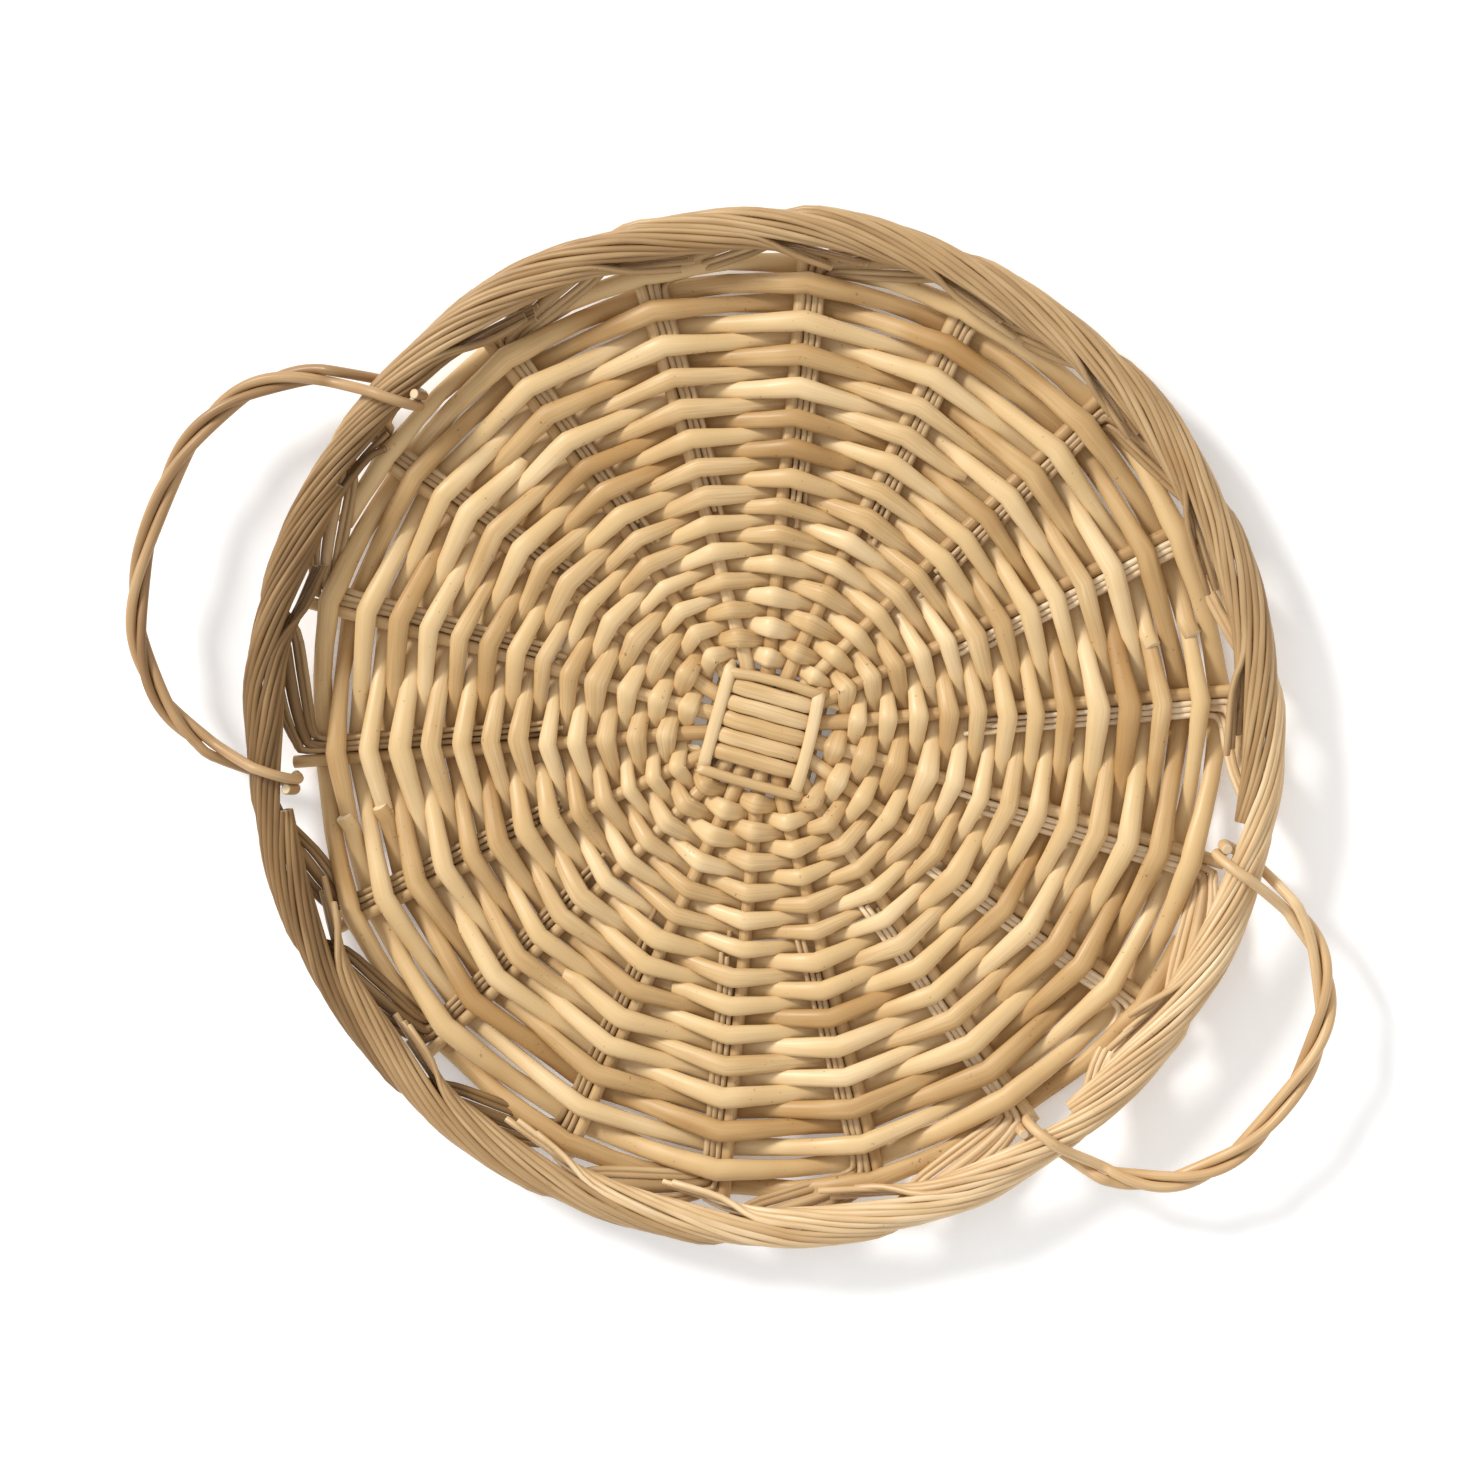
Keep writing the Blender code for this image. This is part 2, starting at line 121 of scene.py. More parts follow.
class Rods:
    """One piece of willow: its rods are circles extruded along their paths."""

    def __init__(self, seed):
        self.mesh = bmesh.new()
        # Where a point would be if its rod lay straight, the rod's own shade, and 1 on cut ends
        self.grain = self.mesh.verts.layers.float_vector.new("grain")
        self.shade = self.mesh.verts.layers.float.new("shade")
        self.cut = self.mesh.verts.layers.float.new("cut")
        self.chance = random.Random(seed)

    def lay(self, path, halves, sides, level=False, shade=None):
        """Adds a rod. halves holds its half width and half height at each point of the path.

        shade is one number from 0, pale, to 1, dark, or a list of them along the path. A level
        rod keeps its sides upright, and another one turns as little as it can.
        """
        shade = self.chance.random() if shade is None else shade
        shades = shade if isinstance(shade, list) else [shade] * len(path)
        shades = [shades[0], *shades, shades[-1]]
        travelled = self.chance.uniform(0, 2)
        path, halves = bevelled(path, halves)
        last = len(path) - 1
        side = placed = cap = None
        for i, (point, (wide, high)) in enumerate(zip(path, halves)):
            along = (path[min(i + 1, last)] - path[max(i - 1, 0)]).normalized()
            if level or side is None:
                side = along.cross(UP if abs(along.z) < STEEP else Vector((1, 0, 0)))
            side = (side - along * side.dot(along)).normalized()
            columns = Matrix((side * wide, side.cross(along) * high, along)).transposed()
            place = Matrix.Translation(point) @ columns.to_4x4()
            travelled += (point - path[i - 1]).length if i else 0
            if cap is None:
                ring = bmesh.ops.create_circle(
                    self.mesh, cap_ends=True, segments=sides, radius=1, matrix=place
                )["verts"]
                cap = ring[0].link_faces[0]
                for vert in ring:
                    local = place.inverted() @ vert.co
                    vert[self.grain] = (local.x * wide, local.y * high, travelled)
                    vert[self.shade] = shades[i]
                    vert[self.cut] = 1
            else:
                cap = bmesh.ops.extrude_discrete_faces(self.mesh, faces=[cap])["faces"][0]
                step = place @ placed.inverted()
                bmesh.ops.transform(self.mesh, matrix=step, verts=cap.verts)
                for vert in cap.verts:
                    vert[self.grain].z = travelled
                    vert[self.shade] = shades[i]
                    vert[self.cut] = 1 if i == last else 0
            placed = place
        open_end = {edge for vert in ring for edge in vert.link_edges if edge.is_boundary}
        bmesh.ops.contextual_create(self.mesh, geom=list(open_end))

    def finish(self, name, body, slot, material, *nodes):
        for face in self.mesh.faces:
            face.smooth = len(face.verts) == 4
        bmesh.ops.recalc_face_normals(self.mesh, faces=self.mesh.faces)
        data = bpy.data.meshes.new(name)
        self.mesh.to_mesh(data)
        self.mesh.free()
        data.materials.append(material)
        piece = bpy.data.objects.new(name, data)
        bpy.context.scene.collection.objects.link(piece)
        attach(piece, body)
        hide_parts(*nodes)


def bevelled(path, halves):
    """The path with a short, narrower stretch added at both ends, as a knife leaves them."""
    start = path[0] + (path[0] - path[1]).normalized() * KNIFE_BEVEL
    end = path[-1] + (path[-1] - path[-2]).normalized() * KNIFE_BEVEL
    narrow = [tuple(half * CUT_NARROWING for half in halves[i]) for i in (0, -1)]
    return [start, *path, end], [narrow[0], *halves, narrow[1]]


class Value:
    """A shader socket in a Python expression, which adds its Math or Vector Math nodes."""

    def __init__(self, finish, socket):
        self.finish = finish
        self.socket = socket

    def join(self, operation, a, b):
        if self.socket.type == "VECTOR":
            node = self.finish.add("ShaderNodeVectorMath", {"operation": operation}, {0: a, 1: b})
        else:
            node = self.finish.add("ShaderNodeMath", {"operation": operation}, {0: a, 1: b})
        return node

    def __add__(self, other):
        return self.join("ADD", self, other)

    def __radd__(self, other):
        return self.join("ADD", other, self)

    def __sub__(self, other):
        return self.join("SUBTRACT", self, other)

    def __rsub__(self, other):
        return self.join("SUBTRACT", other, self)

    def __mul__(self, other):
        return self.join("MULTIPLY", self, other)

    def __rmul__(self, other):
        return self.join("MULTIPLY", other, self)


class Finish:
    """A willow finish being painted with shader nodes."""

    def __init__(self, name):
        self.material = bpy.data.materials.new(name)
        self.material.use_nodes = True
        self.nodes = self.material.node_tree.nodes
        self.links = self.material.node_tree.links
        self.shader = self.nodes["Principled BSDF"]

    def add(self, kind, settings, values, output=0):
        """Adds a node. Its settings are set first, then the values or links of its sockets."""
        node = self.nodes.new(kind)
        for setting, value in settings.items():
            if setting == "stops":
                self.set_stops(node.color_ramp, value)
            else:
                setattr(node, setting, value)
        for socket, value in values.items():
            self.feed(node.inputs[socket], value)
        return Value(self, node.outputs[output])

    def set_stops(self, ramp, stops):
        while len(ramp.elements) < len(stops):
            ramp.elements.new(1)
        for element, (place, shade) in zip(ramp.elements, stops):
            element.position = place
            element.color = shade if isinstance(shade, tuple) else (shade, shade, shade, 1)

    def feed(self, socket, value):
        if isinstance(value, Value):
            self.links.new(value.socket, socket)
        else:
            socket.default_value = value

    def attribute(self, name, output):
        return self.add("ShaderNodeAttribute", {"attribute_name": name}, {}, output)

    def cloud(self, place, scale, detail):
        """Noise around 0.5, on a place that is stretched by scale."""
        values = {"Vector": place * scale, "Scale": 1.0, "Detail": detail}
        return self.add("ShaderNodeTexNoise", {}, values)

    def ramp(self, value, *stops):
        return self.add("ShaderNodeValToRGB", {"stops": stops}, {0: value})

    def step(self, value, low, high):
        """0 below low and 1 above high."""
        values = {0: value, 1: low, 2: high}
        return self.add("ShaderNodeMapRange", {"interpolation_type": "SMOOTHSTEP"}, values)

    def tinted(self, amount, under, over):
        return self.add("ShaderNodeMix", {"data_type": "RGBA"}, {0: amount, 6: under, 7: over}, 2)


PITH = (0.80, 0.66, 0.44, 1)
SPECK = (0.16, 0.075, 0.025, 1)
# How often each mark changes in a metre, across the rod, across it and along it
FIBRES, STREAKS = (2600, 2600, 55), (700, 700, 22)
STRETCHES, LENGTHS = (90, 90, 30), (40, 40, 7)
DOTS, DOTTED_STRETCHES = (900, 900, 700), (75, 75, 60)
STAINS = (26, 26, 26)  # over the whole tray
MIDDLE = 0.5  # of every noise
STRAW_PLACE = 0.45  # on the ramp from pale to tan
BUMP_STRENGTH, BUMP_DEPTH = 0.28, 0.35 * MM


def willow(name, pale, straw, tan, stain, roughness=0.5, stained=0.5, specks=0.55):
    """Peeled willow: silky fibres along the rod, darker stretches, dots of bark and small knots."""
    finish = Finish(name)
    grain = finish.attribute("grain", "Vector")
    shade = finish.attribute("shade", "Fac")
    cut = finish.attribute("cut", "Fac")
    spot = finish.add("ShaderNodeTexCoord", {}, {}, "Object")

    fibre = finish.cloud(grain, FIBRES, 4)
    streak = finish.cloud(grain, STREAKS, 2)
    stretch = finish.cloud(grain, STRETCHES, 2)
    length = finish.cloud(grain, LENGTHS, 1)
    patch = finish.cloud(spot, STAINS, 2)
    dots = finish.cloud(grain, DOTS, 1)
    where = finish.cloud(grain, DOTTED_STRETCHES, 1)

    # The rod's own shade, then lighter and darker stretches, then the fibres
    tone = shade * 0.55 + (stretch - MIDDLE) * 1.2 + (length - MIDDLE) * 1.1
    tone = tone + (streak - MIDDLE) * 0.5 + 0.22
    colour = finish.ramp(tone, (0.0, pale), (STRAW_PLACE, straw), (1.0, tan))
    lines = finish.step(fibre, 0.36, 0.66)
    colour = finish.tinted(lines * 0.30, colour, tan)
    soiled = finish.step(patch + (shade - MIDDLE) * 0.25, 0.56, 0.78) * stained
    colour = finish.tinted(soiled, colour, stain)
    dotted = finish.step(dots, 0.69, 0.75) * finish.step(where, 0.50, 0.62) * specks
    colour = finish.tinted(dotted, colour, SPECK)
    colour = finish.tinted(cut * 0.75, colour, PITH)

    height = fibre * 0.35 + streak * 0.45 - dotted * 0.4
    depth = {"Height": height, "Strength": BUMP_STRENGTH, "Distance": BUMP_DEPTH}
    bump = finish.add("ShaderNodeBump", {}, depth, "Normal")
    finish.feed(finish.shader.inputs["Base Color"], colour)
    finish.feed(finish.shader.inputs["Roughness"], roughness - 0.08 + lines * 0.14 + dotted * 0.2)
    finish.feed(finish.shader.inputs["Normal"], bump)
    finish.shader.inputs["Specular IOR Level"].default_value = 0.4
    return finish.material


CREAM = (0.80, 0.60, 0.345, 1)
STRAW = (0.60, 0.395, 0.18, 1)
TAN = (0.37, 0.205, 0.07, 1)
RUST = (0.42, 0.215, 0.06, 1)

stick_finish = willow("peeled sticks", CREAM, STRAW, TAN, RUST, roughness=0.55, stained=0.3)


STICK_SWAY = 0.35 * MM
PRESSED = 1.16  # how much wider the sticks are by the splits
PRESSED_FROM, PRESSED_LENGTH = 20 * MM, 25 * MM


def stick_legs(rods, arm_turn, offset, spokes):
    """The two ends of a stick, from just outside the slath to the border, bent where they fan."""
    for end, spoke in zip((1, -1), spokes):
        arm = Matrix.Rotation(arm_turn, 3, "Z")
        points = [arm @ Vector((end * (SPLIT_REACH - 3 * MM), offset, SLATH_HEIGHT)),
                  arm @ Vector((end * (SPLIT_REACH + 1.5 * MM), offset, SLATH_HEIGHT))]
        radii = [FAN_RADIUS + (STICK_END - FAN_RADIUS) * k / 9 for k in range(10)]
        for radius in radii:
            sway = STICK_SWAY * noise.noise(Vector((radius * 60, spoke * 3.1, 1)))
            angle = spoke_angle(spoke, radius) + sway / radius
            points.append(polar(radius, angle, stick_height(radius)))
        path = curved(points, 3)
        halves = []
        for k in range(len(path)):
            taper = 1.04 - 0.10 * k / len(path)
            knot = 0.10 * max(0, noise.noise(Vector((k * 0.8, spoke * 5.7, 3))) - 0.25)
            pressed = between(PRESSED, 1, (path[k].xy.length - PRESSED_FROM) / PRESSED_LENGTH)
            halves.append((STICK / 2 * (taper + knot) * pressed, STICK / 2 * (taper + knot)))
        rods.lay(path, halves, sides=12, shade=rods.chance.uniform(0.15, 0.7))


PIERCED_SEED, THREADED_SEED = 100, 120
PIERCED_FIRST_SPOKE = -3
THREADED_FIRST_SPOKE = 2


def far_spoke(first, count, k):
    """A stick keeps its side of the slath, so its far end is the mirror image of its near end."""
    return first + SPOKES // 2 + (count - 1 - k)


SPLIT_WIDTH, SPLIT_CORNER = 5.76 * MM, 1.8 * MM
SPLIT_SWAY = 0.25 * MM
SPLIT_GAP = 0.3 * MM
# The halves of a split: (reach from the middle in mm, how far they have opened)
SPLIT_SHAPE = (
    (-17, 0.15), (-14.6, 0.5), (-12.6, 0.86), (-9, 1), (-4, 1), (0, 1), (4, 1), (9, 1),
    (12.6, 0.86), (14.6, 0.5), (17, 0.15),
)

for k in range(PIERCED_STICKS):
    rods = Rods(PIERCED_SEED + k)
    offset = PIERCED_PITCH * (k - (PIERCED_STICKS - 1) / 2)
    near = PIERCED_FIRST_SPOKE + k
    stick_legs(rods, SLATH_TURN, offset, (near, far_spoke(PIERCED_FIRST_SPOKE, PIERCED_STICKS, k)))
    arm = Matrix.Rotation(SLATH_TURN, 3, "Z")
    for side in (1, -1):
        lift = side * (SLATH_HEIGHT - SPLIT_HALF / 2 - SPLIT_GAP / 2)
        points, halves = [], []
        for reach, opened in SPLIT_SHAPE:
            sway = SPLIT_SWAY * noise.noise(Vector((reach * 0.15, k * 4.3, side)))
            points.append(arm @ Vector((reach * MM, offset + sway, SLATH_HEIGHT + lift * opened)))
            worn = 1 + 0.07 * noise.noise(Vector((reach * 0.2, k * 2.9, 5 * side)))
            halves.append((between(STICK / 2, SPLIT_WIDTH / 2, opened) * worn,
                           between(SPLIT_CORNER, SPLIT_HALF / 2, opened)))
        rods.lay(points, halves, sides=14, level=True, shade=rods.chance.uniform(0.1, 0.55))
    name = f"pierced_stick_{k + 1}"
    rods.finish(f"{name}_willow", "tray", "sticks", stick_finish, name)

for k in range(THREADED_STICKS):
    rods = Rods(THREADED_SEED + k)
    offset = THREADED_PITCH * (k - (THREADED_STICKS - 1) / 2)
    near = THREADED_FIRST_SPOKE + k
    arm_turn = SLATH_TURN + math.pi / 2
    stick_legs(rods, arm_turn, offset, (near, far_spoke(THREADED_FIRST_SPOKE, THREADED_STICKS, k)))
    arm = Matrix.Rotation(arm_turn, 3, "Z")
    middle = [arm @ Vector((reach * MM, offset, SLATH_HEIGHT)) for reach in (-13, -6, 0, 6, 13)]
    rods.lay(middle, [(STICK / 2, STICK / 2 * 0.94)] * 5, sides=12, shade=0.4)
    name = f"threaded_stick_{k + 1}"
    rods.finish(f"{name}_willow", "tray", "sticks", stick_finish, name)

# ------------------------------------------------------------------------------------------------
# The binders. Two thin cream rods are wound once round the crossed sticks, over two of its four
# arms and under the other two, so that each side of the square shows one bar.
# ------------------------------------------------------------------------------------------------

BINDER_SEED = 140
BINDER_THICKNESS = 2.6 * MM
BINDER_GAP = 0.2 * MM
BINDER_LIFT = STICK / 2 + BINDER_GAP + BINDER_THICKNESS / 2
BINDER_CORNER = 1.2 * MM
BINDER_CROWN = 0.4 * MM
BINDER_STATIONS = (-1, -0.3, 0.4, 1)  # along one side, from corner to corner
BINDER_OVERLAP = Vector((0.8 * MM, 0, -1.6 * MM))  # of its two ends, below the sticks
# For each binder: its width, and its reach and half length in mm on the right, top, left and
# bottom arm
BINDERS = (
    (4.5 * MM, (16.4, 16.4, 16.2, 16.4), (18.4, 16.4, 19.0, 16.2)),
    (3.8 * MM, (17.6, 16.5, 17.6, 19.5), (20.4, 17.8, 20.2, 19.0)),
)

binder_finishes = (
    willow("cream binder", (0.86, 0.68, 0.42, 1), (0.72, 0.52, 0.28, 1), STRAW, TAN,
           roughness=0.42, stained=0.3, specks=0.4),
    willow("straw binder", (0.68, 0.48, 0.25, 1), (0.56, 0.37, 0.17, 1), TAN, TAN,
           roughness=0.46, stained=0.4, specks=0.3),
)

for b, (width, reaches, sides) in enumerate(BINDERS):
    rods = Rods(BINDER_SEED + b)
    corners = []
    for arm in range(4):
        reach, side = reaches[arm] * MM, sides[arm] * MM - BINDER_CORNER
        height = SLATH_HEIGHT + (BINDER_LIFT if (arm + b) % 2 == 0 else -BINDER_LIFT)
        turned = Matrix.Rotation(SLATH_TURN + arm * TURN / 4, 3, "Z")
        bow = rods.chance.uniform(0.2, 0.9) * MM
        skew = rods.chance.uniform(-0.5, 0.5) * MM
        for across in BINDER_STATIONS:
            bulge = 1 - across**2
            out = reach + skew * across + bow * bulge
            corners.append(turned @ Vector((out, across * side, height + BINDER_CROWN * bulge)))
    ends = (corners[-1] + corners[0]) / 2
    path = curved([ends, *corners, ends + BINDER_OVERLAP], 4)
    worn = [1 + 0.08 * noise.noise(point * 90) for point in path]
    halves = [(width / 2 * share, BINDER_THICKNESS / 2) for share in worn]
    rods.lay(path, halves, sides=12, level=True, shade=0.3)
    rods.finish(f"binder_{b + 1}_willow", "tray", "binders", binder_finishes[b], f"binder_{b + 1}")

# ------------------------------------------------------------------------------------------------
# The weave: two strands of peeled rods chase each other from the slath to the edge, over one stick
# and under the next. A rod is about a metre long. The butt of a new one is laid in where the last
# one's tip ends, so thick and thin stretches follow each other.
# ------------------------------------------------------------------------------------------------

WEAVE_SEED = 200
ROUNDS = 26
STRANDS = 2
RODS_PER_STRAND = 8
WEAVE_START = 26.9 * MM
WEAVE_END = 165.8 * MM
PITCH_GROWTH = 1.37
SQUARE_ROUNDS = 7  # these follow the square of crossed sticks, and the later ones are round
SQUARE_REACHES = (19.8 * MM, 19.6 * MM, 19.7 * MM, 21.8 * MM)  # on the right, top, left, bottom
BYE_START = 78 * MM
BYE_BUNDLE = 5.6 * MM
LAY_GAP = 0.1 * MM
TABLE_GAP = 0.15 * MM
ON_STICK, MID_GAP = 1.36, 1.10  # a rod's width over the pitch of its round
CROWN, THICKEST = 1.14, 1.04  # how much higher a rod stands on a stick, and a rod's butt
FLAT_ON_BYE, FLAT_ON_STICK = 2.4 * MM, 0.4 * MM  # half of the stretch that lies on a stick
BYE_SIDE = 2.7 * MM  # the middle of a stick and its bundle is this far from the stick's own
STRAIGHTNESS = 0.55  # 0 for a rod that winds evenly, 1 for one with a sharp crease on the sticks
GAP_SHARE = 0.80  # of the way between two sticks, in which a rod goes up or down
LUMPINESS = 0.13
WANDER = 0.9 * MM
BOW = 2.3 * MM
LATE_RADIUS, LATE_WIDTH = 140 * MM, 22 * MM  # from here on the rounds crowd toward the border
CROWDING = 3.4 * MM
FOOT_ROOM = math.radians(10)
HANDLE_FEET = {
    "left_handle": (math.radians(137.5), math.radians(185.5)),
    "right_handle": (math.radians(-54.5), math.radians(-15)),
}
# Where a rod has its rings, as shares of the way to the next stick: it creases on the sticks
RINGS = (0, 0.05, 0.14, 0.30, 0.50, 0.70, 0.86, 0.95)

first_pitch = (WEAVE_END - WEAVE_START) / (ROUNDS + 1) / ((1 + PITCH_GROWTH) / 2)

weaver_finishes = [
    willow("weaving rods, cream", CREAM, (0.67, 0.465, 0.225, 1), STRAW, RUST,
           roughness=0.46, stained=0.35, specks=0.5),
    willow("weaving rods, straw", (0.73, 0.53, 0.285, 1), STRAW, TAN, RUST,
           roughness=0.48, stained=0.5, specks=0.65),
]


def pitch_at(count):
    return first_pitch * (1 + (PITCH_GROWTH - 1) * count / ROUNDS)


def round_radius(count):
    grown = first_pitch * count * (1 + (PITCH_GROWTH - 1) * count / ROUNDS / 2)
    return WEAVE_START + first_pitch / 2 + grown


def square_dip(angle):
    """How far inward of a circle the first round lies at this angle, along the crossed sticks."""
    quarter = TURN / 4
    arm = round((angle - SLATH_TURN) / quarter)
    beside_arm = angle - SLATH_TURN - arm * quarter
    return max(0, WEAVE_START - SQUARE_REACHES[arm % 4] / math.cos(beside_arm))


def foot_distance(angle):
    """Turn from here to the nearest foot of a handle."""
    feet = [foot for pair in HANDLE_FEET.values() for foot in pair]
    return min(abs((angle - foot + TURN / 2) % TURN - TURN / 2) for foot in feet)


def crossing(spoke, count, side):
    """(place, lift, half width, half height) of a rod where it lies over or under a stick."""
    radius = round_radius(count)
    pitch = pitch_at(count)
    angle = spoke_angle(spoke, radius)
    place = Vector((math.cos(angle) * 1.7, math.sin(angle) * 1.7, count * 0.22))
    early = max(0, 1 - count / SQUARE_ROUNDS)
    radius += WANDER * noise.noise(place) - square_dip(angle) * early
    pitch += square_dip(angle) / SQUARE_ROUNDS * (early > 0)
    late = between(0, 1, (radius - LATE_RADIUS) / LATE_WIDTH)
    # Under the handles' feet they leave room for the hooks
    radius += CROWDING * late * between(0, 1, foot_distance(angle) / FOOT_ROOM - 0.5)
    with_bye = radius > BYE_START
    bearing = BYE_BUNDLE if with_bye else STICK
    room = GAP_SHARE * SPOKE_STEP * radius - bearing
    half_height = min(stick_height(radius) - bearing / 2 - LAY_GAP - TABLE_GAP, room) / 2
    lift = (bearing / 2 + LAY_GAP + half_height) * side
    beside = BYE_SIDE if with_bye else 0
    return polar(radius, angle - beside / radius, stick_height(radius)), lift, pitch, half_height


LAP, LAP_SIDE = 5 * MM, 1.2 * MM  # of two rods that meet end to end
LAP_RISE, LAP_DROP = 1.6 * MM, 1.8 * MM
BUTT_END, TIP_END = 0.92, 0.8  # their thickness at the cuts, over that beside the lap


def weave_rod(rods, spokes, strand, butt, first, last):
    """One rod of a strand, from the middle of one gap to the middle of a later one."""
    stations = [
        crossing(spoke, STRANDS * spoke / SPOKES + strand, 1 if (spoke + strand) % 2 == 0 else -1)
        for spoke in spokes
    ]
    path, halves = [], []
    for i, (here, there) in enumerate(zip(stations, stations[1:])):
        flat = FLAT_ON_BYE if here[0].length > BYE_START else FLAT_ON_STICK
        gap = (there[0] - here[0]).length
        middle = RINGS.index(0.50)
        start = middle if i == 0 else 0
        end = middle + 1 if i == len(stations) - 2 else len(RINGS)
        for share in RINGS[start:end]:
            point = here[0].lerp(there[0], share)
            sloped = min(max((share - flat / gap) / (1 - 2 * flat / gap), 0), 1)
            wave = between((1 + math.cos(math.pi * sloped)) / 2, 1 - sloped, STRAIGHTNESS)
            lift = here[1] * wave + there[1] * (1 - wave)
            # Between two sticks the rounds lie side by side. On a stick a rod has room to spread.
            rounded = math.sin(math.pi * share) ** 2
            pitch = between(here[2], there[2], share)
            worn = THICKEST - 0.16 * (len(path) / (len(RINGS) * len(spokes))) ** 1.5
            lumpy = 1 + LUMPINESS * noise.noise(Vector((point.x * 38, point.y * 38, 6 + strand)))
            thick = butt * worn * lumpy
            wide = pitch / 2 * between(ON_STICK, MID_GAP, rounded) * thick
            crown = CROWN if lift > 0 else 1.0
            plain = between(here[3], there[3], share)
            high = plain * between(crown, 1, rounded) * min(thick, THICKEST)
            # The last rounds are bowed outward, against the border
            late = between(0, 1, (point.xy.length - LATE_RADIUS) / LATE_WIDTH)
            point += polar(BOW * late * rounded, math.atan2(point.y, point.x), 0)
            point.z += lift + (high - plain) * (1 if lift > 0 else -0.5)
            path.append(point)
            halves.append((wide, high))
    # The butt starts on top of the last rod's tip, and the tip goes down behind the next butt.
    outward = path[0].copy()
    outward.z = 0
    outward.normalize()
    if not first:
        back = (path[0] - path[1]).normalized()
        path.insert(0, path[0] + back * LAP + outward * LAP_SIDE + UP * LAP_RISE)
        halves.insert(0, tuple(half * BUTT_END for half in halves[0]))
    if not last:
        ahead = (path[-1] - path[-2]).normalized()
        path.append(path[-1] + ahead * LAP - outward * LAP_SIDE - UP * LAP_DROP)
        halves.append(tuple(half * TIP_END for half in halves[-1]))
    rods.lay(path, halves, sides=10, level=True)


def strand_cuts(strand):
    """The stick after whose gap each rod of a strand ends, so that all its rods are as long."""
    first = -(SPOKES // 2) * strand
    steps = ROUNDS // STRANDS * SPOKES
    lengths = [0]
    for step in range(steps):
        radius = round_radius(STRANDS * (first + step) / SPOKES + strand)
        lengths.append(lengths[-1] + radius * SPOKE_STEP)
    cuts = [0]
    for rod in range(1, RODS_PER_STRAND):
        wanted = lengths[-1] * rod / RODS_PER_STRAND
        cuts.append(next(i for i, length in enumerate(lengths) if length >= wanted))
    return [first + cut for cut in cuts + [steps]]


for strand in range(STRANDS):
    cuts = strand_cuts(strand)
    for rod, (start, end) in enumerate(zip(cuts, cuts[1:])):
        rods = Rods(WEAVE_SEED + 20 * strand + rod)
        spokes = range(start - (rod > 0), end + (rod < RODS_PER_STRAND - 1))
        weave_rod(rods, spokes, strand, rods.chance.uniform(0.98, 1.08), rod == 0,
                  rod == RODS_PER_STRAND - 1)
        name = f"weaver_{'ab'[strand]}{rod + 1}"
        finish = weaver_finishes[(rod + strand) % 2]
        rods.finish(f"{name}_willow", "tray", "weaving_rods", finish, name)

# ------------------------------------------------------------------------------------------------
# The bye-stakes and the border. Beside every stick six thin rods and a thick one are pushed into
# the weave. At the edge they turn up and clockwise, and the thin ones spread into a ribbon that
# winds once round the border with those of the next two sticks. Its tips are cut off inside.
# ------------------------------------------------------------------------------------------------

STAKE_SEED = 300
STAKE = 2.2 * MM
STAKES = 6
TRAY_RADIUS = 180 * MM
ROPE_RADIUS = 6.24 * MM
BORDER_RADIUS = TRAY_RADIUS - ROPE_RADIUS
BORDER_HEIGHT = 22.5 * MM
RISE_RADIUS = BORDER_RADIUS - ROPE_RADIUS
BYE_BESIDE = 5.5 * MM
LAY_SPOKES = 3
QUARTER_STEP = SPOKE_STEP / 4
TUCK_STEPS = 11
ENTRY_PHASE = math.radians(240)
RIBBON_STEP = math.radians(20)
RIBBON_RADIUS = 6.35 * MM
RIBBON_CROWN = 0.10 * MM
ROPE_FLATNESS = 0.88
CORE_RADIUS = 3.0 * MM
CORE_THICKNESS, RIBBON_THICKNESS = 2.0, 1.16  # of a stake in the border, over its size
CALM_TURN = math.radians(7)  # by this far from a foot the border may swell
SWELL = 1.2 * MM
HOOK_SQUEEZE = 0.55 * MM
STAKE_SPACING = 0.93
STAKE_RADII = (110 * MM, 124 * MM, 138 * MM)
STAKE_TIP, TAPER_RINGS = 0.8, 24
TAIL_ROOM = math.radians(3.5)
# The stakes are as pale as the weave where it covers them, and darker in the border
PALER = 0.9
DARKER_FROM, DARKER_LENGTH = 150 * MM, 14 * MM
LEG_END, LEG_SPREAD = 158.3 * MM, 1.6 * MM
# The way up: (turn past the stick, radius, its spread, height, its spread from stake to stake).
# Close to a handle's foot it is shorter, so that the hooks have room.
LONG_RISE = (
    (math.radians(1.2), 162.4 * MM, 1.4 * MM, 8.7 * MM, 0.4 * MM),
    (math.radians(4.5), 165.0 * MM, 1.9 * MM, 10.8 * MM, 0.6 * MM),
    (math.radians(9.0), 168.0 * MM, 2.1 * MM, 12.8 * MM, 0.75 * MM),
    (math.radians(13.5), 171.8 * MM, 1.9 * MM, 14.8 * MM, 0.75 * MM),
)
MIDDLE_RISE = (
    (math.radians(1.2), 162.6 * MM, 1.5 * MM, 8.7 * MM, 0.4 * MM),
    (math.radians(4.0), 165.2 * MM, 1.8 * MM, 11.2 * MM, 0.7 * MM),
    (math.radians(7.5), 168.4 * MM, 1.8 * MM, 13.8 * MM, 0.75 * MM),
)
SHORT_RISE = (
    (math.radians(0.3), 167.2 * MM, 0.7 * MM, 8.9 * MM, 0.2 * MM),
    (math.radians(1.5), 169.8 * MM, 1.2 * MM, 13.4 * MM, 0.4 * MM),
)
# (room before the next foot, the way up, first quarter step in the border)
RISES = ((15, SHORT_RISE, 1), (25, MIDDLE_RISE, 3), (360, LONG_RISE, 4))

